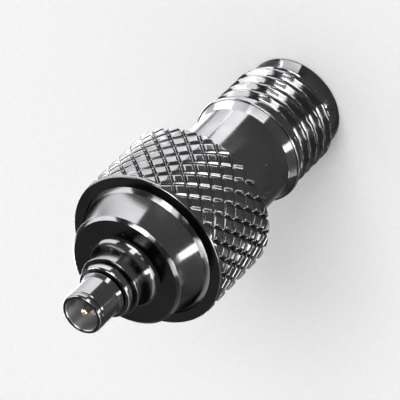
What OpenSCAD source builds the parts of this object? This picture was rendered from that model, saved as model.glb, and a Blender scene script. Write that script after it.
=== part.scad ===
// Coax adapter: threaded jack on one end, push-on micro plug on the other, with a knurled grip between.
// Millimetres. The jack mouth stands on z = 0 and the plug nose points up +Z, the axis of every turned piece.

/* [Jack] */
// Major diameter of the jack thread
thread_d = 6.35; // [6:0.05:6.45]
// Length from the mouth to the end of the thread
thread_l = 4.85; // [3.5:0.05:7]
// Diameter of the plain lead-in between the mouth and the thread
lead_d = 5.76; // [5.6:0.02:5.9]
// Length of the plain lead-in
lead_l = 0.95; // [0.5:0.05:1.3]
// Chamfer on the mouth's outer edge
mouth_chamfer = 0.1; // [0.04:0.01:0.15]
// Bore of the mouth that takes the mating plug's shell
mouth_d = 4.62; // [4.3:0.02:4.8]
// Depth of the mouth down to the reference face
mouth_depth = 1.93; // [1.5:0.01:3]
// Lead-in chamfer on the edge of the mouth bore
mouth_lead = 0.1; // [0.02:0.01:0.15]
// Diameter over the rounded bead behind the thread
collar_d = 6.56; // [6.46:0.02:7.2]
// Length of the bead
collar_l = 0.3; // [0.1:0.05:1]
// Length of the cone from the bead down to the neck
shoulder_l = 0.55; // [0.2:0.05:1.5]
// Diameter of the neck
neck_d = 5.9; // [5.2:0.05:6.1]
// Length of the neck
neck_l = 4.65; // [3:0.05:9]
// Fillet where the neck meets the grip
neck_fillet = 0.2; // [0.05:0.01:0.4]

/* [Grip] */
// Diameter over the knurl
grip_d = 9.15; // [8.8:0.05:11]
// Length of the grip
grip_l = 5.15; // [4.6:0.05:9]
// Grooves in each of the two crossed families
knurl_starts = 27; // [20:1:34]
// Angle of the grooves to the axis
knurl_angle = 45; // [35:1:55]
// Width of a groove at the surface
groove_w = 0.2; // [0.08:0.01:0.24]
// Depth of a groove
groove_depth = 0.14; // [0.06:0.01:0.2]
// How far the knurl stands proud of the plain lip
knurl_rise = 0.03; // [0.02:0.01:0.05]
// Length of the chamfer behind the knurl
grip_chamfer = 0.15; // [0.05:0.01:0.3]
// Shortest plain lip in front of the knurl
lip_min = 0.15; // [0.05:0.01:0.4]
// Edge round of the lip
lip_round = 0.08; // [0.02:0.01:0.14]

/* [Front barrel] */
// Diameter of the barrel at its front rim
barrel_d = 6.66; // [6.2:0.02:6.9]
// Diameter of the barrel's root, pressed into the grip
barrel_root_d = 7.3; // [7.1:0.05:7.5]
// Diameter of the foot that lies on the grip's face, out of which the barrel's side sweeps
foot_d = 7.9; // [7.6:0.05:8.2]
// Height of the foot, which is one chamfer
foot_h = 0.24; // [0.1:0.01:0.3]
// Length of the barrel in front of the grip
barrel_l = 2.15; // [1:0.05:5]
// Depth to which the barrel is pressed into the grip
barrel_depth = 3.5; // [3:0.05:3.8]
// Chamfer on the barrel's front rim
rim_chamfer = 0.18; // [0.05:0.01:0.4]

/* [Plug nose] */
// Diameter of the nose's root, pressed into the barrel
root_d = 4.4; // [3.9:0.05:5]
// Depth to which the root is pressed into the barrel
root_depth = 3.65; // [2:0.05:4]
// Diameter of the stage behind the snap ring
stage_d = 3.5; // [3.3:0.05:3.8]
// Length of the stage, from the barrel's face to the ring groove
stage_l = 1.5; // [1.2:0.05:3]
// Length of the flare from the stage out to the root
flare_l = 0.75; // [0.3:0.05:1]
// Diameter of the floor of the ring groove
groove_floor_d = 2; // [1.9:0.02:2.04]
// Length of the ring groove
ring_groove_l = 0.68; // [0.5:0.01:1.2]
// Diameter of the conical lip that keeps the ring in its groove
nose_lip_d = 2.68; // [2.6:0.02:2.9]
// Length of that lip
nose_lip_l = 0.28; // [0.1:0.01:0.6]
// Outside diameter of the nose tube
tube_d = 2.4; // [2.3:0.02:2.5]
// Length of the nose tube in front of the lip
tube_l = 1.79; // [1.2:0.01:3]
// Bore of the nose tube
tube_bore_d = 1.92; // [1.7:0.02:2]
// Depth of the nose tube's bore
tube_bore_l = 1.5; // [0.8:0.05:2]

/* [Snap ring] */
// Outside diameter of the ring
ring_d = 3.12; // [2.9:0.02:3.3]
// Width of the ring along the axis
ring_w = 0.6; // [0.3:0.01:0.66]
// Gap around the groove floor that lets the ring close
ring_clear = 0.03; // [0.02:0.01:0.2]
// Opening of the split, in degrees
ring_split = 24; // [8:1:60]
// Edge chamfer of the ring
ring_chamfer = 0.12; // [0.02:0.01:0.14]

/* [Insulators] */
// Diameter of the insulator in the jack
insulator_d = 4.1; // [3.6:0.05:4.25]
// Diameter of the flange that the barrel clamps
flange_d = 5.2; // [4.6:0.05:5.8]
// Thickness of that flange
flange_l = 1.1; // [0.5:0.05:1.2]
// Diameter of the insulator in the barrel and the nose's root
nose_insulator_d = 2.9; // [2.4:0.05:3]
// Diameter of the insulator's spigot in the nose
spigot_d = 1.56; // [1.2:0.02:1.66]
// Wall of the nose between the ring groove and the step of its bore
step_wall = 0.65; // [0.3:0.05:1]
// Radial clearance of the insulators in the metal
insulator_clear = 0.01; // [0:0.005:0.03]

/* [Contacts] */
// Outside diameter of the socket contact
socket_d = 1.27; // [1.1:0.01:1.5]
// Bore of the socket contact
socket_bore_d = 0.94; // [0.8:0.01:1]
// Depth of the socket contact's bore
socket_bore_l = 2.9; // [2:0.1:5]
// How far the socket contact stands below the reference face
socket_recess = 0.05; // [0:0.01:0.25]
// Width of the slots that split the socket contact
slot_w = 0.15; // [0.1:0.01:0.18]
// Length of those slots
slot_l = 2.3; // [1:0.1:2.8]
// Diameter of the collar that the two insulators trap
contact_collar_d = 1.8; // [1.6:0.05:2.1]
// Length of that collar
contact_collar_l = 0.8; // [0.4:0.05:1.5]
// Diameter of the centre pin
pin_d = 0.4; // [0.3:0.01:0.6]
// How far the pin's tail reaches into the socket contact
pin_tail = 1.5; // [0.8:0.1:3]
// How far the pin's tip stands below the end of the nose
pin_recess = 0.15; // [0.1:0.05:0.8]

/* [Hidden] */

turn_fn = 96;
arc_steps = 6;
// Cutters reach this far past the faces that they open
reach = 0.5;
plating = "#4a4a4c";
spring_metal = "#4e4c49";
ptfe = "#eceae4";
gold = "#c9a24a";

// Stations along the axis, from the jack mouth up
z_collar = thread_l;
z_shoulder = z_collar + collar_l;
z_neck = z_shoulder + shoulder_l;
z_grip = z_neck + neck_l;
z_knurl = z_grip + grip_chamfer;
z_grip_face = z_grip + grip_l;
z_face = z_grip_face + barrel_l;
z_stage = z_face + stage_l;
z_nose_lip = z_stage + ring_groove_l;
z_tube = z_nose_lip + nose_lip_l;
z_tip = z_tube + tube_l;

// Stations of what is fitted inside
z_seat = z_grip_face - barrel_depth;
z_flange = z_seat - flange_l;
z_collar_front = z_seat + contact_collar_l;
z_root = z_face - root_depth;
z_step = z_stage - step_wall;
z_tube_floor = z_tip - tube_bore_l;
z_socket = mouth_depth + socket_recess;
z_pin_tail = z_collar_front - pin_tail;

// Knurl lattice: grooves cross at every second point of rows that are knurl_row apart
grip_r = grip_d / 2;
lip_r = grip_r - knurl_rise;
groove_r = grip_r - groove_depth;
core_r = groove_r - groove_depth / 2;
knurl_inner_r = (barrel_root_d / 2 + core_r) / 2;
knurl_step = 180 / knurl_starts;
knurl_row = PI * grip_r / (knurl_starts * tan(knurl_angle));
knurl_rows = floor((grip_l - grip_chamfer - lip_min) / knurl_row);
z_lip = z_knurl + knurl_rows * knurl_row;
// Share of a lattice step that the groove takes from a land's corner, around and along
inset_around = groove_w / 2 / cos(knurl_angle) / (PI * grip_r / knurl_starts);
inset_along = groove_w / 2 / sin(knurl_angle) / knurl_row;

// Points of an arc about [x, z], from angle a to angle b
function arc(x, z, r, a, b) =
    [for (i = [0 : arc_steps])
        let (t = a + (b - a) * i / arc_steps)
        [x + r * cos(t), z + r * sin(t)]];

function polar(r, angle, z) = [r * cos(angle), r * sin(angle), z];

module turned(profile) {
    rotate_extrude($fn = turn_fn) polygon(profile);
}

module bore(d, z0, z1) {
    translate([0, 0, z0]) cylinder(d = d, h = z1 - z0, $fn = turn_fn);
}

// Band of diamonds between two crossed families of V grooves, closed by plain end faces and a plain inner wall
module knurl_band() {
    n = knurl_starts;
    rows = knurl_rows;
    lands_from = n * (rows + 1);
    inner_from = 5 * lands_from;

    // A crossing exists where column and row are both even or both odd, and a land at the other points
    function crossing(col, row) = row * n + floor(((col + 2 * n) % (2 * n)) / 2);
    function land(col, row) = lands_from + 4 * crossing(col, row);
    function left(col, row) = land(col, row);
    function right(col, row) = land(col, row) + 1;
    function top(col, row) = land(col, row) + 2;
    function bottom(col, row) = land(col, row) + 3;
    function inner(col, level) = inner_from + level * 2 * n + col % (2 * n);
    function height(row) = z_knurl + row * knurl_row;
    function col_of(k, row) = 2 * k + row % 2;

    crossings = [
        for (row = [0 : rows], k = [0 : n - 1])
            polar(groove_r, col_of(k, row) * knurl_step, height(row))
    ];
    // Corners of each land; the end rows keep only the half inside the band
    lands = [
        for (row = [0 : rows], k = [0 : n - 1])
            let (angle = col_of(k, row + 1) * knurl_step)
            let (across = knurl_step * (1 - inset_around))
            let (along = knurl_row * (1 - inset_along))
            let (up = row < rows ? along : 0)
            let (down = row > 0 ? along : 0)
            each [
                polar(grip_r, angle - across, height(row)),
                polar(grip_r, angle + across, height(row)),
                polar(grip_r, angle, height(row) + up),
                polar(grip_r, angle, height(row) - down)
            ]
    ];
    inner_wall = [
        for (level = [0, 1], col = [0 : 2 * n - 1])
            polar(knurl_inner_r, col * knurl_step, height(level * rows))
    ];

    land_faces = [
        for (row = [0 : rows], k = [0 : n - 1])
            let (c = col_of(k, row + 1))
            each [
                [left(c, row), top(c, row), bottom(c, row)],
                [top(c, row), right(c, row), bottom(c, row)]
            ]
    ];
    upper_slopes = [
        for (row = [0 : rows - 1], k = [0 : n - 1])
            let (c = col_of(k, row + 1))
            let (west = crossing(c - 1, row))
            let (north = crossing(c, row + 1))
            let (east = crossing(c + 1, row))
            each [
                [west, north, top(c, row)], [west, top(c, row), left(c, row)],
                [north, east, right(c, row)], [north, right(c, row), top(c, row)]
            ]
    ];
    lower_slopes = [
        for (row = [1 : rows], k = [0 : n - 1])
            let (c = col_of(k, row + 1))
            let (west = crossing(c - 1, row))
            let (south = crossing(c, row - 1))
            let (east = crossing(c + 1, row))
            each [
                [east, south, bottom(c, row)], [east, bottom(c, row), right(c, row)],
                [south, west, left(c, row)], [south, left(c, row), bottom(c, row)]
            ]
    ];
    rear_face = [
        for (k = [0 : n - 1])
            let (c = col_of(k, 1))
            let (west = crossing(c - 1, 0))
            let (east = crossing(c + 1, 0))
            each [
                [west, left(c, 0), inner(c - 1, 0)],
                [left(c, 0), bottom(c, 0), inner(c - 1, 0)],
                [bottom(c, 0), inner(c, 0), inner(c - 1, 0)],
                [bottom(c, 0), right(c, 0), inner(c, 0)],
                [right(c, 0), east, inner(c, 0)],
                [east, inner(c + 1, 0), inner(c, 0)]
            ]
    ];
    front_face = [
        for (k = [0 : n - 1])
            let (c = col_of(k, rows + 1))
            let (before = c + 2 * n - 1)
            let (west = crossing(c - 1, rows))
            let (east = crossing(c + 1, rows))
            each [
                [inner(before, 1), left(c, rows), west],
                [inner(before, 1), top(c, rows), left(c, rows)],
                [inner(before, 1), inner(c, 1), top(c, rows)],
                [inner(c, 1), right(c, rows), top(c, rows)],
                [inner(c, 1), east, right(c, rows)],
                [inner(c, 1), inner(c + 1, 1), east]
            ]
    ];
    inner_faces = [
        for (c = [0 : 2 * n - 1])
            each [
                [inner(c, 0), inner(c + 1, 0), inner(c + 1, 1)],
                [inner(c, 0), inner(c + 1, 1), inner(c, 1)]
            ]
    ];
    polyhedron(
        concat(crossings, lands, inner_wall),
        concat(land_faces, upper_slopes, lower_slopes, rear_face, front_face, inner_faces)
    );
}

// One turned piece: threaded jack, collar, neck and grip, with its stepped bore
module jack_body() {
    color(plating) union() {
        turned(concat(
            [
                [mouth_d / 2 + mouth_lead, 0],
                [lead_d / 2 - mouth_chamfer, 0],
                [lead_d / 2, mouth_chamfer],
                [lead_d / 2, lead_l],
                [thread_d / 2, lead_l + (thread_d - lead_d) / 2]
            ],
            // Rounded bead that ends the thread, half of an ellipse
            [for (i = [0 : 2 * arc_steps])
                let (t = 90 * i / arc_steps)
                [
                    thread_d / 2 + (collar_d - thread_d) / 2 * sin(t),
                    z_collar + collar_l * (1 - cos(t)) / 2
                ]],
            [[neck_d / 2, z_neck]],
            arc(neck_d / 2 + neck_fillet, z_grip - neck_fillet, neck_fillet, 180, 90),
            [
                [core_r - grip_chamfer, z_grip],
                [core_r, z_knurl],
                [core_r, z_lip],
                [lip_r, z_lip]
            ],
            arc(lip_r - lip_round, z_grip_face - lip_round, lip_round, 0, 90),
            [
                [barrel_root_d / 2, z_grip_face],
                [barrel_root_d / 2, z_seat],
                [flange_d / 2, z_seat],
                [flange_d / 2, z_flange],
                [insulator_d / 2, z_flange],
                [insulator_d / 2, mouth_depth],
                [mouth_d / 2, mouth_depth],
                [mouth_d / 2, mouth_lead]
            ]
        ));
        knurl_band();
    }
}

// Sleeve pressed into the grip; it clamps the rear insulator and carries the nose
module front_barrel() {
    sweep_r = (foot_d - barrel_d) / 2 - foot_h;
    sweep_l = barrel_l - foot_h - rim_chamfer;
    color(plating) turned(concat(
        [
            [nose_insulator_d / 2, z_seat],
            [barrel_root_d / 2, z_seat],
            [barrel_root_d / 2, z_grip_face],
            [foot_d / 2, z_grip_face]
        ],
        // Concave side, a parabola from the top of the foot to the rim
        [for (i = [0 : arc_steps])
            let (u = i / arc_steps)
            [
                barrel_d / 2 + sweep_r * (1 - u) * (1 - u),
                z_grip_face + foot_h + sweep_l * u
            ]],
        [
            [barrel_d / 2 - rim_chamfer, z_face],
            [root_d / 2, z_face],
            [root_d / 2, z_root],
            [nose_insulator_d / 2, z_root]
        ]
    ));
}

// Outer contact of the plug: root, flared stage, ring groove, lip and thin-walled tube
module plug_nose() {
    flare_r = (root_d - stage_d) / 2;
    wall = (tube_d - tube_bore_d) / 2;
    tip_x = (tube_d + tube_bore_d) / 4;
    color(plating) turned(concat(
        [
            [nose_insulator_d / 2, z_root],
            [root_d / 2, z_root],
            [root_d / 2, z_face]
        ],
        // Concave flare, a quarter of an ellipse
        [for (i = [1 : arc_steps])
            let (t = 90 * i / arc_steps)
            [root_d / 2 - flare_r * sin(t), z_face + flare_l * (1 - cos(t))]],
        [
            [stage_d / 2, z_stage],
            [groove_floor_d / 2, z_stage],
            [groove_floor_d / 2, z_nose_lip],
            [nose_lip_d / 2, z_nose_lip],
            [tube_d / 2, z_tube]
        ],
        arc(tip_x, z_tip - wall / 2, wall / 2, 0, 180),
        [
            [tube_bore_d / 2, z_tube_floor],
            [spigot_d / 2, z_tube_floor],
            [spigot_d / 2, z_step],
            [nose_insulator_d / 2, z_step]
        ]
    ));
}

// Split spring ring that lies in the nose's groove
module snap_ring() {
    inner_r = groove_floor_d / 2 + ring_clear;
    outer_r = ring_d / 2;
    color(spring_metal)
        rotate([0, 0, ring_split / 2])
            rotate_extrude(angle = 360 - ring_split, $fn = turn_fn)
                polygon([
                    [inner_r, z_stage],
                    [outer_r - ring_chamfer, z_stage],
                    [outer_r, z_stage + ring_chamfer],
                    [outer_r, z_stage + ring_w - ring_chamfer],
                    [outer_r - ring_chamfer, z_stage + ring_w],
                    [inner_r, z_stage + ring_w]
                ]);
}

// Insulator of the jack, put in from the grip and held by its flange
module rear_insulator() {
    color(ptfe) turned([
        [socket_d / 2, mouth_depth],
        [insulator_d / 2 - insulator_clear, mouth_depth],
        [insulator_d / 2 - insulator_clear, z_flange],
        [flange_d / 2 - insulator_clear, z_flange],
        [flange_d / 2 - insulator_clear, z_seat],
        [socket_d / 2, z_seat]
    ]);
}

// Insulator of the plug, from the contact's collar to the floor of the nose tube
module front_insulator() {
    color(ptfe) turned([
        [pin_d / 2, z_collar_front],
        [nose_insulator_d / 2 - insulator_clear, z_collar_front],
        [nose_insulator_d / 2 - insulator_clear, z_step],
        [spigot_d / 2 - insulator_clear, z_step],
        [spigot_d / 2 - insulator_clear, z_tube_floor],
        [pin_d / 2, z_tube_floor]
    ]);
}

// Slotted socket of the jack, with the collar that the insulators trap and a blind hole for the pin's tail
module socket_contact() {
    color(gold) difference() {
        turned([
            [0, z_socket],
            [socket_d / 2, z_socket],
            [socket_d / 2, z_seat],
            [contact_collar_d / 2, z_seat],
            [contact_collar_d / 2, z_collar_front],
            [0, z_collar_front]
        ]);
        bore(socket_bore_d, z_socket - reach, z_socket + socket_bore_l);
        bore(pin_d, z_pin_tail, z_collar_front + reach);
        for (turn = [0, 90])
            rotate([0, 0, turn])
                translate([-socket_d, -slot_w / 2, z_socket - reach])
                    cube([2 * socket_d, slot_w, slot_l + reach]);
    }
}

// Pin of the plug, its tail pressed into the socket contact
module centre_pin() {
    color(gold) turned(concat(
        [[0, z_pin_tail], [pin_d / 2, z_pin_tail]],
        [for (p = arc(0, z_tip - pin_recess - pin_d / 2, pin_d / 2, 0, 90)) [max(p[0], 0), p[1]]]
    ));
}

jack_body();
front_barrel();
plug_nose();
snap_ring();
rear_insulator();
front_insulator();
socket_contact();
centre_pin();
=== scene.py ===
import math

import bmesh
import bpy
import numpy as np
from mathutils import Matrix, Vector


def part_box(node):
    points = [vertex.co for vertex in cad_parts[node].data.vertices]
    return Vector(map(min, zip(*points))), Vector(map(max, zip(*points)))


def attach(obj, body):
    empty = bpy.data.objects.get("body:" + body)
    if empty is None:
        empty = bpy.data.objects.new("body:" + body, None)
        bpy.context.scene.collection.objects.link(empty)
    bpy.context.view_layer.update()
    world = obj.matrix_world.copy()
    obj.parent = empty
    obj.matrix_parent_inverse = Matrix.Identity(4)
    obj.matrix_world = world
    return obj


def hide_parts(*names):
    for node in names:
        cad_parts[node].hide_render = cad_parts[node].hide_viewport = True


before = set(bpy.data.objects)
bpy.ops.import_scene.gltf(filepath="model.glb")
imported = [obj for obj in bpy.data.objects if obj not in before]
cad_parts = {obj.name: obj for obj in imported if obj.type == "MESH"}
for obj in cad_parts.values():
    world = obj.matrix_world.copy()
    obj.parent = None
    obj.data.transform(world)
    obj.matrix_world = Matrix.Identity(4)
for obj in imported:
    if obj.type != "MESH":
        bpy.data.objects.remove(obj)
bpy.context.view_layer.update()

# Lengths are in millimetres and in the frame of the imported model: jack mouth on z = 0, axis along +Z.
MM = 0.001
BODY = "root"


def span(node):
    """Lowest and highest z of a node, in millimetres."""
    low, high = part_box(node)
    return low.z / MM, high.z / MM


# Stations along the axis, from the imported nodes
Z_MOUTH = span("jack_body")[0]
Z_GRIP_FACE = span("jack_body")[1]
Z_SEAT, Z_FACE = span("front_barrel")
Z_ROOT, Z_TIP = span("plug_nose")
Z_STAGE, Z_RING_END = span("snap_ring")
Z_REFERENCE = span("rear_insulator")[0]
Z_COLLAR_FRONT, Z_TUBE_FLOOR = span("front_insulator")
Z_SOCKET = span("socket_contact")[0]
Z_PIN_TAIL, Z_PIN_TIP = span("centre_pin")

# Jack; the thread runs out over a share of its pitch and has turns to spare past both ends
THREAD_R = 3.175
THREAD_PITCH = 0.78
THREAD_DEPTH = 0.34
THREAD_CREST_Z = 4.823
THREAD_RUN_OUT = 0.6
THREAD_END_GAP = 0.02
SPARE_TURNS = 2
WAVER = 0.007
WAVES_PER_TURN = (17.3, 29.9)
Z_COLLAR = 4.85
LEAD_R = 2.88
Z_LEAD = 0.95
MOUTH_CHAMFER = 0.1
MOUTH_R = 2.31
MOUTH_LEAD = 0.1
COLLAR_R = 3.28
COLLAR_L = 0.3
NECK_R = 2.95
Z_NECK = 5.7
NECK_ROUND = 0.3
NECK_FILLET = 0.2

# Grip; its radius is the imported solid's smaller half width, so that it stays inside the solid's box
Z_GRIP = 10.35
GRIP_CHAMFER = 0.15
GRIP_NOMINAL_R = 4.575
GRIP_R = min(abs(c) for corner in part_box("jack_body") for c in corner[:2]) / MM
KNURL_STARTS = 27
KNURL_ROW = math.pi * GRIP_NOMINAL_R / KNURL_STARTS
KNURL_ROWS = 9
Z_KNURL = Z_GRIP + GRIP_CHAMFER
GROOVE_DEPTH = 0.14
Z_LIP = Z_KNURL + KNURL_ROWS * KNURL_ROW
LIP_SLOPE = 0.03
LIP_R = 4.545
LIP_ROUND = 0.09
CORE_R = 4.4

# Front barrel
BARREL_R = 3.33
BARREL_ROOT_R = 3.65
FOOT_R = 3.95
FOOT_H = 0.24
FOOT_ROUND = 0.02
RIM_CHAMFER = 0.18

# Plug nose, whose tube has a shallow waist behind a rolled tip
ROOT_R = 2.2
STAGE_R = 1.75
STAGE_ROUND = 0.07
FLARE_L = 0.75
GROOVE_FLOOR_R = 1.0
RING_GROOVE_L = 0.68
Z_NOSE_LIP = Z_STAGE + RING_GROOVE_L
NOSE_LIP_R = 1.34
NOSE_LIP_L = 0.28
NOSE_LIP_ROUND = 0.03
Z_TUBE = Z_NOSE_LIP + NOSE_LIP_L
TUBE_R = 1.2
TUBE_ROUND = 0.1
TUBE_BORE_R = 0.96
WAIST_TO_TIP = 0.36
Z_WAIST = Z_TIP - WAIST_TO_TIP
WAIST_DEPTH = 0.035
WAIST_REAR_L = 0.1
WAIST_FRONT_L = 0.09
WAIST_ROUND = 0.08
TIP_W = 0.13
TIP_H = 0.24

# Snap ring
RING_R = 1.56
RING_INNER_R = 1.03
RING_INNER_ROUND = 0.03
RING_REAR_ROUND = 0.14
RING_FRONT_ROUND = 0.17
RING_SPLIT = math.radians(24)

# Insulators and contacts
INSULATOR_R = 2.04
INSULATOR_BORE_R = 2.05
FLANGE_R = 2.59
FLANGE_BORE_R = 2.6
FLANGE_L = 1.1
Z_FLANGE = Z_SEAT - FLANGE_L
NOSE_INSULATOR_R = 1.44
NOSE_BORE_R = 1.45
SPIGOT_R = 0.77
SPIGOT_BORE_R = 0.78
STEP_WALL = 0.65
Z_STEP = Z_STAGE - STEP_WALL
SOCKET_R = 0.635
SOCKET_BORE_R = 0.47
SOCKET_BORE_L = 2.9
TINES = 4
SLOT_W = 0.15
SLOT_L = 2.3
CONTACT_COLLAR_R = 0.9
PIN_R = 0.2

# Small rounds on edges in general, on the contacts and on the pin's hole
EDGE = 0.05
CONTACT_EDGE = 0.04
HOLE_EDGE = 0.02

# Steps of the meshes, and the angles in degrees above which their edges are shaded sharp
TURN_STEPS = 216
ARC_STEPS = 5
TINE_STEPS = 24
PIN_TIP_STEPS = 8
SHARP = 35
BARREL_SHARP = 15
GRIP_SHARP = 50

# Tolerances: the radius below which a point lies on the axis, and how near a bore's own faces lie to it
ON_AXIS = 1e-6
NEAR = 0.02

# Half a cell of the knurl lattice, from a groove's floor to a land's middle: station and share of the depth
HALF_CELL = ((0, 1), (0.05, 0.86), (0.1, 0.48), (0.14, 0.16), (0.17, 0.02), (0.3, 0), (0.5, 0))
# Half a pitch of the thread, from a crest to the root, in the same way
HALF_PITCH = (
    (0, 0), (0.06, 0.02), (0.09, 0.1), (0.17, 0.37),
    (0.26, 0.67), (0.34, 0.9), (0.41, 0.99), (0.5, 1),
)

# Plated metal: how deep pits are beside turning marks, and dust specks as a share of its colour plus grey
PIT_SHARE = 0.25
SPECK_LIFT = 0.8
SPECK_BASE = 0.16

# Surround: brightness of the horizon, the ceiling and the fill, and the elevations between which it darkens
HORIZON_LEVEL = 0.9
CEILING_LEVEL = 0.35
FILL_LEVEL = 0.71
HORIZON_TO = 12
CEILING_FROM = 34
FLOOR_R = 1500

# Camera: eye and the point that it looks at, the picture's turn about the line of sight, and the lens
EYE = Vector((11.733, -164.893, 164.095)) * MM
LOOKED_AT = Vector((-0.102, -0.007, 10.197)) * MM
ROLL = math.radians(-134.78)
SENSOR = 36
FOCAL_PIXELS = 4212.5
PICTURE_PIXELS = 400
CLIP_START = 10

# Key lamp, which lights the floor and shows in no metal; all softboxes face a point on the axis
AIM_Z = 15
KEY_PLACE = (28, 50, 900)
KEY_SIZE = (500, 400)
KEY_RADIANCE = 6.4
# Softboxes: name, bearing, elevation, distance, width, height, radiance, tilt
SOFTBOXES = (
    ("front_top", 28, 44, 300, 190, 84, 15, 0),
    ("top_strip", 41, 50.5, 400, 190, 36, 60, 0),
    ("left_top", -57, 40, 300, 130, 70, 12, 0),
    ("left_low", -59, 22, 345, 190, 108, 20, 22),
    ("left_rear", -104, 7, 300, 350, 104, 4, 22),
    ("front_low", -8, 33, 300, 50, 30, 13, 0),
)
# Reflector cards that stand upright: name, bearing, distance, left, right, low, high, radiance
WALLS = (
    ("right_wall", 90, 30, -6, 26, 22, 42, 16),
    ("thread_wall", 106, 7.5, -5, -0.3, 0, 7.5, 19),
    ("collar_wall", 30, 8.2, -2.6, 2.2, 5, 6.9, 20),
    ("nose_wall", 24, 15, -2, 2, 18.5, 36, 20),
    ("left_wall", -45, 32, -3.3, 3, 1.2, 25, 28),
)
# Reflector cards that lie just above the floor: name, bearing, near, far, left, right, radiance
CARD_HEIGHT = 0.12
CARDS = (
    ("right_near_card", 43, 2.9, 11, 0.3, 4.9, 17.5),
    ("right_far_card", 43, 11, 75, 0.3, 95, 14),
    ("right_side_card", 43, 2.9, 11, 11, 95, 14),
    ("right_back_card", 43, -2, 2.9, 6.2, 95, 14),
    ("right_rear_card", 43, -40, -2, 21, 70, 14),
    ("mouth_card", 33, 2.4, 4.2, -0.4, 1, 15),
    ("left_far_card", -84, 18.5, 24, -4, 8, 3),
    ("left_spot", -93, 15, 18.4, -1.8, 1.8, 45),
)


def arc(x, z, r, a, b, steps=ARC_STEPS):
    """Points of an arc about (x, z), from angle a to angle b in degrees."""
    angles = np.radians(np.linspace(a, b, steps + 1))
    return [(x + r * math.cos(t), z + r * math.sin(t)) for t in angles]


def rounded(corners):
    """Outline through (r, z) or (r, z, fillet) corners of a closed loop, each fillet an arc."""
    points = []
    for k, corner in enumerate(corners):
        here = np.array(corner[:2], float)
        if len(corner) == 2:
            points.append(tuple(here))
            continue
        fillet = corner[2]
        back = np.array(corners[k - 1][:2]) - here
        ahead = np.array(corners[(k + 1) % len(corners)][:2]) - here
        back = back / np.linalg.norm(back)
        ahead = ahead / np.linalg.norm(ahead)
        half = math.acos(np.clip(back @ ahead, -1, 1)) / 2
        bisector = (back + ahead) / np.linalg.norm(back + ahead)
        centre = here + bisector * fillet / math.sin(half)
        start = here + back * fillet / math.tan(half) - centre
        end = here + ahead * fillet / math.tan(half) - centre
        first = math.atan2(start[1], start[0])
        sweep = math.atan2(start[0] * end[1] - start[1] * end[0], start @ end)
        for i in range(ARC_STEPS + 1):
            t = first + sweep * i / ARC_STEPS
            points.append((centre[0] + fillet * math.cos(t), centre[1] + fillet * math.sin(t)))
    return points


def into_scene(name, data):
    """New object in the scene."""
    thing = bpy.data.objects.new(name, data)
    bpy.context.scene.collection.objects.link(thing)
    return thing


def finished_piece(name, vertices, faces, material, node, slot, sharp=SHARP):
    """Object from vertices in millimetres, shaded smooth up to an angle, that stands for a node."""
    mesh = bpy.data.meshes.new(name)
    mesh.from_pydata([Vector(v) * MM for v in vertices], [], faces)
    edit = bmesh.new()
    edit.from_mesh(mesh)
    bmesh.ops.recalc_face_normals(edit, faces=edit.faces)
    edit.to_mesh(mesh)
    edit.free()
    mesh.shade_smooth()
    mesh.set_sharp_from_angle(angle=math.radians(sharp))
    mesh.materials.append(material)
    piece = into_scene(name, mesh)
    weights = piece.modifiers.new("face_weighted_normals", "WEIGHTED_NORMAL")
    weights.keep_sharp = True
    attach(piece, BODY)
    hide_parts(node)
    return piece


def turned(outline, angles=None):
    """Vertices and faces of a closed outline turned about Z; points on the axis become poles."""
    closed = angles is None
    if closed:
        angles = np.linspace(0, 2 * math.pi, TURN_STEPS, endpoint=False)
    count = len(angles)
    vertices = []
    rings = []
    for r, z in outline:
        first = len(vertices)
        if r < ON_AXIS:
            vertices.append((0, 0, z))
            rings.append([first] * count)
        else:
            vertices += [(r * math.cos(t), r * math.sin(t), z) for t in angles]
            rings.append(list(range(first, first + count)))
    faces = []
    for ring, other in zip(rings, rings[1:] + rings[:1]):
        for i in range(count if closed else count - 1):
            j = (i + 1) % count
            faces.append(unique(ring[i], ring[j], other[j], other[i]))
    if not closed:
        faces.append([ring[0] for ring in rings])
        faces.append([ring[-1] for ring in rings])
    return vertices, [f for f in faces if len(f) > 2]


def unique(*corners):
    """Corners of a face with repeats left out."""
    return list(dict.fromkeys(corners))


def both_halves(half):
    """Stations of a whole cell or pitch, and the shares of the depth there, from those of its first half."""
    whole = half + tuple((1 - station, share) for station, share in half[-2:0:-1])
    return tuple(zip(*whole))


CELL, CELL_DEPTH = both_halves(HALF_CELL)
PITCH, PITCH_DEPTH = both_halves(HALF_PITCH)


class Shell:
    """Vertices and faces of one mesh, put together ring by ring."""

    def __init__(self):
        self.vertices = []
        self.faces = []

    def vertex(self, r, angle, z):
        self.vertices.append((r * math.cos(angle), r * math.sin(angle), z))
        return len(self.vertices) - 1

    def ring(self, r, z, angles):
        return [self.vertex(r, t, z) for t in angles]

    def join(self, ring, other):
        """Faces between two rings with as many vertices."""
        for i in range(len(ring)):
            j = (i + 1) % len(ring)
            self.faces.append(unique(ring[i], ring[j], other[j], other[i]))

    def sleeve(self, first_ring, outline, angles):
        """Rings along an outline, each joined to the one before; gives back the last."""
        ring = first_ring
        for r, z in outline:
            following = self.ring(r, z, angles)
            self.join(ring, following)
            ring = following
        return ring


def thread_radius(share, z, along):
    """Radius of the thread at a share of its depth, cut back at the lead-in and run out at the bead.

    A small waver along the helix stands for the marks of the threading tool.
    """
    fade = min(1, max(0, (Z_COLLAR - z) / (THREAD_RUN_OUT * THREAD_PITCH)))
    turn = 2 * math.pi * along
    waves = sum(1 + math.sin(rate * turn + shift) for shift, rate in enumerate(WAVES_PER_TURN))
    r = THREAD_R - WAVER * waves * fade - THREAD_DEPTH * share * fade * fade * (3 - 2 * fade)
    return min(r, LEAD_R + z - Z_LEAD)


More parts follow.
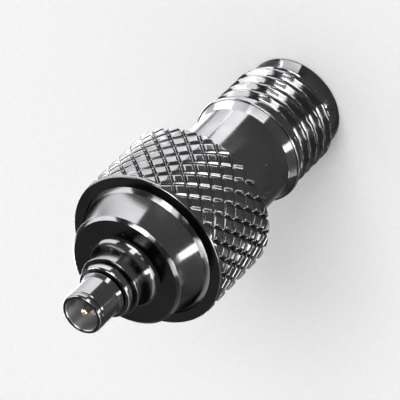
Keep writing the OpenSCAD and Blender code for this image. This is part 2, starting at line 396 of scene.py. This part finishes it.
def add_thread(shell, low_ring, high_ring, angles):
    """Right-hand helical thread between two rings, with rows of vertices that follow the helix."""
    rows = len(PITCH)
    count = len(angles)
    turns_below = math.ceil(THREAD_CREST_Z / THREAD_PITCH) + SPARE_TURNS
    turns = turns_below + 1 + SPARE_TURNS
    kept = {}

    def corner(i, j):
        turn, row = divmod(j, rows)
        angle = angles[i] if i < count else 2 * math.pi
        along = turn - turns_below + PITCH[row] + angle / (2 * math.pi)
        z = THREAD_CREST_Z + along * THREAD_PITCH
        if z < Z_LEAD + THREAD_END_GAP:
            return low_ring[i % count]
        if z > Z_COLLAR - THREAD_END_GAP:
            return high_ring[i % count]
        key = (i, j) if i < count else (0, j + rows)
        if key not in kept:
            kept[key] = shell.vertex(thread_radius(PITCH_DEPTH[row], z, along), angle, z)
        return kept[key]

    for i in range(count):
        for j in range(rows * turns):
            face = unique(corner(i, j), corner(i + 1, j), corner(i + 1, j + 1), corner(i, j + 1))
            if len(face) > 2:
                shell.faces.append(face)


def add_knurl(shell):
    """Diamond knurl: a square lattice of lands and V grooves, laid on the cylinder at 45 degrees.

    Position (s, t) of the lattice lies at row s - t and column s + t; grooves run where s or t is whole.
    Gives back the vertices along the rear and the front end of the knurl.
    """
    steps = len(CELL)
    around = KNURL_STARTS * steps
    deep = KNURL_ROWS * steps
    column = math.pi / KNURL_STARTS

    def place(index):
        return index // steps + CELL[index % steps]

    first = len(shell.vertices)
    for t_index in range(around):
        for offset in range(deep + 1):
            s_index = t_index + offset
            s, t = place(s_index), place(t_index)
            share = max(CELL_DEPTH[s_index % steps], CELL_DEPTH[t_index % steps])
            shell.vertex(GRIP_R - GROOVE_DEPTH * share, (s + t) * column, Z_KNURL + (s - t) * KNURL_ROW)

    def at(t_index, offset):
        return first + (t_index % around) * (deep + 1) + offset

    for t in range(around):
        shell.faces.append([at(t, 0), at(t, 1), at(t + 1, 0)])
        for offset in range(1, deep):
            shell.faces.append([at(t, offset), at(t, offset + 1), at(t + 1, offset), at(t + 1, offset - 1)])
        shell.faces.append([at(t, deep), at(t + 1, deep), at(t + 1, deep - 1)])
    rear = [at(t, 0) for t in range(around)]
    front = [at(t, deep) for t in range(around)]
    return rear, front


def jack_body(material):
    """Threaded jack, bead, neck and knurled grip, turned from one bar, with its stepped bore."""
    shell = Shell()
    rear, front = add_knurl(shell)
    cell = 2 * math.pi / KNURL_STARTS
    angles = [(k + f) * cell for k in range(KNURL_STARTS) for f in CELL]
    front_angles = [t + KNURL_ROWS / 2 * cell for t in angles]

    # From the knurl's front end over the lip and down the bore to the barrel's seat
    lip = [(LIP_R, Z_LIP + LIP_SLOPE)]
    lip += arc(LIP_R - LIP_ROUND, Z_GRIP_FACE - LIP_ROUND, LIP_ROUND, 0, 90)
    lip += [
        (BARREL_ROOT_R, Z_GRIP_FACE),
        (BARREL_ROOT_R, Z_SEAT),
    ]
    seat = shell.sleeve(front, lip, front_angles)

    # The seat's vertices in the order of the rear angles, which start at zero
    start = int(np.argmin([t % (2 * math.pi) for t in front_angles]))
    seat = seat[start:] + seat[:start]

    bore = [
        (FLANGE_BORE_R, Z_SEAT),
        (FLANGE_BORE_R, Z_FLANGE),
        (INSULATOR_BORE_R, Z_FLANGE),
        (INSULATOR_BORE_R, Z_REFERENCE),
        (MOUTH_R, Z_REFERENCE),
        (MOUTH_R, Z_MOUTH + MOUTH_LEAD),
        (MOUTH_R + MOUTH_LEAD, Z_MOUTH),
    ]
    bore += arc(LEAD_R - MOUTH_CHAMFER, Z_MOUTH + MOUTH_CHAMFER, MOUTH_CHAMFER, -90, 0)
    bore += [(LEAD_R, Z_LEAD)]
    lead_end = shell.sleeve(seat, bore, angles)
    thread_end = shell.ring(THREAD_R, Z_COLLAR, angles)
    add_thread(shell, lead_end, thread_end, angles)

    bead = [
        (THREAD_R + (COLLAR_R - THREAD_R) * math.sin(t), Z_COLLAR + COLLAR_L * (1 - math.cos(t)) / 2)
        for t in np.linspace(0, math.pi, 2 * ARC_STEPS + 1)[1:]
    ]
    neck = bead + rounded([
        (THREAD_R, Z_COLLAR + COLLAR_L),
        (NECK_R, Z_NECK, NECK_ROUND),
        (NECK_R, Z_GRIP, NECK_FILLET),
        (CORE_R - GRIP_CHAMFER, Z_GRIP, EDGE),
        (CORE_R, Z_KNURL),
    ])[1:]
    grip_edge = shell.sleeve(thread_end, neck, angles)
    shell.join(grip_edge, rear)
    mesh = shell.vertices, shell.faces
    return finished_piece("jack_body_turned", *mesh, material, "jack_body", "plating", GRIP_SHARP)


def front_barrel(material):
    """Barrel whose side sweeps from a chamfered foot on the grip's face up to a chamfered front rim."""
    sweep_r = FOOT_R - FOOT_H - BARREL_R
    sweep_l = Z_FACE - RIM_CHAMFER - Z_GRIP_FACE - FOOT_H
    side = [
        (BARREL_R + sweep_r * (1 - u) ** 2, Z_GRIP_FACE + FOOT_H + sweep_l * u)
        for u in np.linspace(0, 1, 3 * ARC_STEPS)
    ]
    outline = rounded([
        (NOSE_BORE_R, Z_SEAT),
        (BARREL_ROOT_R, Z_SEAT),
        (BARREL_ROOT_R, Z_GRIP_FACE),
        (FOOT_R, Z_GRIP_FACE, FOOT_ROUND),
    ] + side[:-1] + [
        (*side[-1], EDGE),
        (BARREL_R - RIM_CHAMFER, Z_FACE, EDGE),
        (ROOT_R, Z_FACE),
        (ROOT_R, Z_ROOT),
        (NOSE_BORE_R, Z_ROOT),
    ])
    mesh = turned(outline)
    return finished_piece("front_barrel_turned", *mesh, material, "front_barrel", "plating", BARREL_SHARP)


def plug_nose(material, bore_material):
    """Outer contact of the plug: root, flared stage, ring groove, lip and a tube whose satin bore is painted
    paler, a painted light.
    """
    flare = [
        (ROOT_R - (ROOT_R - STAGE_R) * math.sin(t), Z_FACE + FLARE_L * (1 - math.cos(t)))
        for t in np.linspace(0, math.pi / 2, 3 * ARC_STEPS)
    ]
    crown_r = TUBE_R - TIP_W
    inner_w = crown_r - TUBE_BORE_R
    quarter = np.linspace(0, math.pi / 2, 2 * ARC_STEPS)
    tip = [(crown_r + TIP_W * math.cos(t), Z_TIP - TIP_H + TIP_H * math.sin(t)) for t in quarter]
    tip += [(crown_r - inner_w * math.sin(t), Z_TIP - inner_w + inner_w * math.cos(t)) for t in quarter[1:]]
    outline = [(NOSE_BORE_R, Z_ROOT), (ROOT_R, Z_ROOT)] + flare
    outline += rounded([
        flare[-1],
        (STAGE_R, Z_STAGE, STAGE_ROUND),
        (GROOVE_FLOOR_R, Z_STAGE),
        (GROOVE_FLOOR_R, Z_NOSE_LIP),
        (NOSE_LIP_R, Z_NOSE_LIP, NOSE_LIP_ROUND),
        (TUBE_R, Z_TUBE, TUBE_ROUND),
        (TUBE_R, Z_WAIST - WAIST_REAR_L, TUBE_ROUND),
        (TUBE_R - WAIST_DEPTH, Z_WAIST, WAIST_ROUND),
        (TUBE_R, Z_WAIST + WAIST_FRONT_L, WAIST_ROUND),
        tip[0],
    ])[1:-1]
    outline += tip + [
        (TUBE_BORE_R, Z_TUBE_FLOOR),
        (SPIGOT_BORE_R, Z_TUBE_FLOOR),
        (SPIGOT_BORE_R, Z_STEP),
        (NOSE_BORE_R, Z_STEP),
    ]
    piece = finished_piece("plug_nose_turned", *turned(outline), material, "plug_nose", "plating")
    piece.data.materials.append(bore_material)
    # Faces of the tube's bore get the paler nickel, which is painted light in the bore.
    for face in piece.data.polygons:
        middle = face.center / MM
        if middle.xy.length < TUBE_BORE_R + NEAR and middle.z > Z_TUBE_FLOOR - NEAR:
            face.material_index = 1
    return piece


def snap_ring(material):
    """Split spring ring in the nose's groove."""
    outline = rounded([
        (RING_INNER_R, Z_STAGE, RING_INNER_ROUND),
        (RING_R, Z_STAGE, RING_REAR_ROUND),
        (RING_R, Z_RING_END, RING_FRONT_ROUND),
        (RING_INNER_R, Z_RING_END, RING_INNER_ROUND),
    ])
    angles = np.linspace(RING_SPLIT / 2, 2 * math.pi - RING_SPLIT / 2, TURN_STEPS)
    return finished_piece("snap_ring_split", *turned(outline, angles), material, "snap_ring", "spring_metal")


def rear_insulator(material):
    """Insulator of the jack, with the flange that the barrel clamps."""
    outline = rounded([
        (SOCKET_R, Z_REFERENCE, CONTACT_EDGE),
        (INSULATOR_R, Z_REFERENCE, EDGE),
        (INSULATOR_R, Z_FLANGE),
        (FLANGE_R, Z_FLANGE, EDGE),
        (FLANGE_R, Z_SEAT),
        (SOCKET_R, Z_SEAT),
    ])
    mesh = turned(outline)
    return finished_piece("rear_insulator_turned", *mesh, material, "rear_insulator", "dielectric")


def front_insulator(material):
    """Insulator of the plug, which ends in a spigot at the floor of the nose tube."""
    outline = rounded([
        (PIN_R, Z_COLLAR_FRONT),
        (NOSE_INSULATOR_R, Z_COLLAR_FRONT, EDGE),
        (NOSE_INSULATOR_R, Z_STEP, EDGE),
        (SPIGOT_R, Z_STEP),
        (SPIGOT_R, Z_TUBE_FLOOR, EDGE),
        (PIN_R, Z_TUBE_FLOOR, HOLE_EDGE),
    ])
    mesh = turned(outline)
    return finished_piece("front_insulator_turned", *mesh, material, "front_insulator", "dielectric")


def socket_contact(material):
    """Socket of the jack: four spring tines in front of a solid shank with a collar."""
    z_floor = Z_SOCKET + SOCKET_BORE_L
    z_slot = Z_SOCKET + SLOT_L
    tine = rounded([
        (SOCKET_BORE_R, Z_SOCKET, CONTACT_EDGE),
        (SOCKET_R, Z_SOCKET, CONTACT_EDGE),
        (SOCKET_R, z_slot),
        (SOCKET_BORE_R, z_slot),
    ])
    shank = rounded([
        (SOCKET_BORE_R, z_slot),
        (SOCKET_R, z_slot),
        (SOCKET_R, Z_SEAT),
        (CONTACT_COLLAR_R, Z_SEAT, CONTACT_EDGE),
        (CONTACT_COLLAR_R, Z_COLLAR_FRONT, CONTACT_EDGE),
        (PIN_R, Z_COLLAR_FRONT),
        (PIN_R, Z_PIN_TAIL),
        (0, Z_PIN_TAIL),
        (0, z_floor),
        (SOCKET_BORE_R, z_floor),
    ])
    vertices, faces = turned(shank)
    half_slot = math.asin(SLOT_W / 2 / SOCKET_R)
    quarter = 2 * math.pi / TINES
    for k in range(TINES):
        angles = np.linspace(k * quarter + half_slot, (k + 1) * quarter - half_slot, TINE_STEPS)
        tine_vertices, tine_faces = turned(tine, angles)
        faces += [[len(vertices) + i for i in face] for face in tine_faces]
        vertices += tine_vertices
    mesh = vertices, faces
    return finished_piece("socket_contact_slotted", *mesh, material, "socket_contact", "contact_plating")


def centre_pin(material):
    """Pin of the plug, with a round tip."""
    outline = [(0, Z_PIN_TAIL), (PIN_R, Z_PIN_TAIL)]
    outline += arc(0, Z_PIN_TIP - PIN_R, PIN_R, 0, 90, PIN_TIP_STEPS)[:-1]
    outline += [(0, Z_PIN_TIP)]
    mesh = turned(outline)
    return finished_piece("centre_pin_turned", *mesh, material, "centre_pin", "contact_plating")


class Nodes:
    """Short forms for building a node tree."""

    def __init__(self, name):
        self.material = bpy.data.materials.new(name)
        self.material.use_nodes = True
        self.tree = self.material.node_tree
        self.shader = self.tree.nodes["Principled BSDF"]

    def add(self, kind, **settings):
        node = self.tree.nodes.new("ShaderNode" + kind)
        for key, value in settings.items():
            if key in node.inputs:
                node.inputs[key].default_value = value
            else:
                setattr(node, key, value)
        return node

    def link(self, output, target):
        self.tree.links.new(output, target)

    def feed(self, socket, value):
        """Gives a socket of the shader the output of a node, or a plain value."""
        if isinstance(value, bpy.types.NodeSocket):
            self.link(value, self.shader.inputs[socket])
        else:
            self.shader.inputs[socket].default_value = value

    def math(self, operation, a, b=None):
        node = self.add("Math", operation=operation)
        for socket, value in zip(node.inputs, (a, b)):
            if isinstance(value, (int, float)):
                socket.default_value = value
            elif value is not None:
                self.link(value, socket)
        return node.outputs[0]

    def ramp(self, factor, low, high, stops=(0.3, 0.7)):
        """Grey levels or colours from low to high as the factor goes from the first stop to the second."""
        node = self.add("ValToRGB")
        for element, place, value in zip(node.color_ramp.elements, stops, (low, high)):
            element.position = place
            element.color = (*value, 1) if isinstance(value, tuple) else (value, value, value, 1)
        self.link(factor, node.inputs["Fac"])
        return node.outputs["Color"]

    def noise(self, vector, scale, detail):
        node = self.add("TexNoise", Scale=scale, Detail=detail)
        self.link(vector, node.inputs["Vector"])
        return node.outputs["Fac"]

    def position(self):
        """Object coordinates, in metres."""
        return self.add("TexCoord").outputs["Object"]

    def turning_marks(self, position, per_mm):
        """Noise that changes only with radius and height, like the marks that a lathe tool leaves."""
        parts = self.add("SeparateXYZ")
        self.link(position, parts.inputs[0])
        flat = self.add("CombineXYZ")
        self.link(parts.outputs["X"], flat.inputs["X"])
        self.link(parts.outputs["Y"], flat.inputs["Y"])
        radius = self.add("VectorMath", operation="LENGTH")
        self.link(flat.outputs[0], radius.inputs[0])
        reach = self.math("ADD", radius.outputs["Value"], parts.outputs["Z"])
        marks = self.add("TexNoise", noise_dimensions="1D", Scale=per_mm / MM, Detail=3.0)
        self.link(reach, marks.inputs["W"])
        return marks.outputs["Fac"]

    def bump(self, height, distance_mm, strength=1.0):
        node = self.add("Bump", Strength=strength, Distance=distance_mm * MM)
        self.link(height, node.inputs["Height"])
        self.feed("Normal", node.outputs["Normal"])


def plated_metal(name, dark, light, polish, edge):
    """Turned metal with a thin plating: turning marks, smudges in colour and gloss, pits and specks."""
    n = Nodes(name)
    position = n.position()
    marks = n.turning_marks(position, per_mm=16)
    smudge = n.noise(position, scale=420, detail=5.0)
    pits = n.noise(position, scale=9000, detail=2.0)
    specks = n.ramp(n.noise(position, scale=2400, detail=1.0), low=0, high=1, stops=(0.76, 0.8))
    speckled = n.add("MixRGB", Color2=(*(SPECK_LIFT * c + SPECK_BASE for c in light), 1))
    n.link(specks, speckled.inputs["Fac"])
    n.link(n.ramp(smudge, dark, light), speckled.inputs["Color1"])
    n.feed("Base Color", speckled.outputs[0])
    haze = n.math("MULTIPLY", n.math("ADD", smudge, marks), 0.5)
    n.feed("Roughness", n.ramp(haze, *polish, stops=(0.35, 0.65)))
    n.feed("Metallic", 1)
    n.feed("Specular Tint", (edge, edge, edge, 1))
    n.feed("Anisotropic", 0.7)
    n.feed("Anisotropic Rotation", 0.25)
    n.feed("Tangent", n.add("Tangent", direction_type="RADIAL", axis="Z").outputs[0])
    relief = n.math("ADD", marks, n.math("MULTIPLY", pits, PIT_SHARE))
    n.bump(relief, distance_mm=0.0012)
    return n.material


def dark_nickel():
    """Dark bright nickel on the turned brass."""
    dark, light = (0.039, 0.039, 0.04), (0.052, 0.052, 0.054)
    return plated_metal("dark_nickel", dark, light, polish=(0.1, 0.2), edge=0.44)


def spring_bronze():
    """Dark plating on the snap ring's bronze, a little warmer than the rest."""
    dark, light = (0.05, 0.05, 0.049), (0.064, 0.063, 0.061)
    return plated_metal("spring_bronze_plated", dark, light, polish=(0.1, 0.2), edge=0.44)


def satin_nickel_painted_light():
    """Duller nickel in the bore of the nose tube, painted paler than the plating as painted light falling
    into the bore.
    """
    dark, light = (0.2, 0.2, 0.204), (0.27, 0.27, 0.274)
    return plated_metal("satin_nickel_painted_light", dark, light, polish=(0.3, 0.42), edge=0.5)


def gold_plate():
    """Thin satin gold on the contacts."""
    dark, light = (0.4, 0.32, 0.19), (0.5, 0.41, 0.25)
    return plated_metal("gold_plate", dark, light, polish=(0.2, 0.34), edge=1.0)


def fluoropolymer():
    """Waxy white insulator with a soft lathe finish."""
    n = Nodes("fluoropolymer")
    position = n.position()
    marks = n.turning_marks(position, per_mm=10)
    cloud = n.noise(position, scale=700, detail=3.0)
    n.feed("Base Color", n.ramp(cloud, low=(0.78, 0.77, 0.74), high=(0.86, 0.85, 0.83)))
    n.feed("Roughness", n.ramp(marks, low=0.38, high=0.52))
    n.feed("Subsurface Weight", 0.15)
    n.feed("Subsurface Scale", 0.4 * MM)
    n.bump(marks, distance_mm=0.004)
    return n.material


def pale_floor():
    """Plain pale studio floor with a faint paper tooth."""
    n = Nodes("pale_floor")
    tooth = n.noise(n.position(), scale=3000, detail=3.0)
    n.feed("Base Color", n.ramp(tooth, low=(0.86, 0.86, 0.86), high=(0.89, 0.89, 0.89)))
    n.feed("Roughness", 0.8)
    n.feed("Specular IOR Level", 0)
    n.bump(tooth, distance_mm=0.01, strength=0.3)
    return n.material


def add_floor(material):
    """Wide round floor under the part."""
    edit = bmesh.new()
    bmesh.ops.create_circle(edit, cap_ends=True, radius=FLOOR_R * MM, segments=96)
    mesh = bpy.data.meshes.new("floor")
    edit.to_mesh(mesh)
    edit.free()
    mesh.materials.append(material)
    floor = into_scene("floor", mesh)
    floor.location.z = Z_MOUTH * MM


def add_camera():
    """Camera at the photograph's viewing angle."""
    data = bpy.data.cameras.new("camera")
    data.sensor_width = SENSOR
    data.lens = FOCAL_PIXELS * SENSOR / PICTURE_PIXELS
    data.clip_start = CLIP_START * MM
    camera = into_scene("camera", data)
    sight = (LOOKED_AT - EYE).to_track_quat("-Z", "Y").to_matrix()
    turn = sight @ Matrix.Rotation(ROLL, 3, "Z")
    camera.matrix_world = Matrix.Translation(EYE) @ turn.to_4x4()
    bpy.context.scene.camera = camera


def towards(bearing, elevation, distance):
    """Point at a bearing, an elevation and a distance; bearings run from the camera to its right."""
    turn = math.atan2(EYE.y, EYE.x) + math.radians(bearing)
    rise = math.radians(elevation)
    flat = math.cos(rise) * distance * MM
    return Vector((flat * math.cos(turn), flat * math.sin(turn), math.sin(rise) * distance * MM))


def area_lamp(name, place, aim, width, height, radiance, tilt=0):
    """Softbox that shows in metal only, tilted in its own plane; its power follows from radiance and size."""
    data = bpy.data.lights.new(name, "AREA")
    data.shape = "RECTANGLE"
    data.size = width * MM
    data.size_y = height * MM
    data.energy = radiance * math.pi * data.size * data.size_y
    lamp = into_scene(name, data)
    turn = Matrix.Rotation(math.radians(tilt), 3, "Z")
    lamp.rotation_euler = ((aim - place).to_track_quat("-Z", "Y").to_matrix() @ turn).to_euler()
    lamp.location = place
    lamp.visible_camera = False
    lamp.visible_diffuse = False
    return lamp


def card(name, bearing, near, far, left, right, radiance):
    """Reflector card that lies flat, from near to far along a bearing and from left to right across it."""
    along = towards(bearing, 0, 1) / MM
    across = towards(bearing + 90, 0, 1) / MM
    place = (along * (near + far) / 2 + across * (left + right) / 2) * MM
    place.z = CARD_HEIGHT * MM
    lamp = area_lamp(name, place, place + Vector((0, 0, 1)), far - near, right - left, radiance)
    lamp.rotation_euler = (math.pi, 0, math.atan2(along.y, along.x))


def wall(name, bearing, distance, left, right, low, high, radiance):
    """Reflector card that stands upright at a bearing and distance and faces the part."""
    place = towards(bearing, 0, distance) + towards(bearing + 90, 0, (left + right) / 2)
    place.z = (low + high) / 2 * MM
    aim = place - towards(bearing, 0, distance)
    area_lamp(name, place, aim, right - left, high - low, radiance)


def add_lights():
    """Key lamp for the floor, softboxes around the part and reflector cards beside it."""
    aim = Vector((0, 0, AIM_Z)) * MM
    key = area_lamp("key", towards(*KEY_PLACE), aim, *KEY_SIZE, KEY_RADIANCE)
    key.visible_diffuse = True
    key.visible_glossy = False
    for name, bearing, elevation, distance, *box in SOFTBOXES:
        area_lamp(name, towards(bearing, elevation, distance), aim, *box)
    for row in WALLS:
        wall(*row)
    for row in CARDS:
        card(*row)


def add_world():
    """Pale horizon under a dark ceiling for what is seen or mirrored, and an even fill for the rest."""
    world = bpy.data.worlds.new("surround")
    world.use_nodes = True
    tree = world.node_tree
    background = tree.nodes["Background"]
    background.inputs["Color"].default_value = (1, 1, 1, 1)
    path = tree.nodes.new("ShaderNodeLightPath")
    mirrored = tree.nodes.new("ShaderNodeMath")
    mirrored.operation = "MAXIMUM"
    tree.links.new(path.outputs["Is Glossy Ray"], mirrored.inputs[0])
    tree.links.new(path.outputs["Is Transmission Ray"], mirrored.inputs[1])
    seen = tree.nodes.new("ShaderNodeMath")
    seen.operation = "MAXIMUM"
    tree.links.new(path.outputs["Is Camera Ray"], seen.inputs[0])
    tree.links.new(mirrored.outputs[0], seen.inputs[1])
    direction = tree.nodes.new("ShaderNodeTexCoord")
    height = tree.nodes.new("ShaderNodeSeparateXYZ")
    tree.links.new(direction.outputs["Generated"], height.inputs[0])
    horizon = tree.nodes.new("ShaderNodeMapRange")
    horizon.interpolation_type = "SMOOTHSTEP"
    horizon.inputs["From Min"].default_value = math.sin(math.radians(HORIZON_TO))
    horizon.inputs["From Max"].default_value = math.sin(math.radians(CEILING_FROM))
    horizon.inputs["To Min"].default_value = HORIZON_LEVEL
    horizon.inputs["To Max"].default_value = CEILING_LEVEL
    tree.links.new(height.outputs["Z"], horizon.inputs["Value"])
    level = tree.nodes.new("ShaderNodeMix")
    level.inputs["A"].default_value = FILL_LEVEL
    tree.links.new(seen.outputs[0], level.inputs["Factor"])
    tree.links.new(horizon.outputs[0], level.inputs["B"])
    tree.links.new(level.outputs["Result"], background.inputs["Strength"])
    bpy.context.scene.world = world


plating = dark_nickel()
gold = gold_plate()
white = fluoropolymer()

jack_body(plating)
front_barrel(plating)
# The bore gets nickel painted paler than the plating, as painted light in the bore.
plug_nose(plating, satin_nickel_painted_light())
snap_ring(spring_bronze())
rear_insulator(white)
front_insulator(white)
socket_contact(gold)
centre_pin(gold)

add_floor(pale_floor())
add_camera()
add_lights()
add_world()
bpy.context.scene.view_settings.view_transform = "Standard"
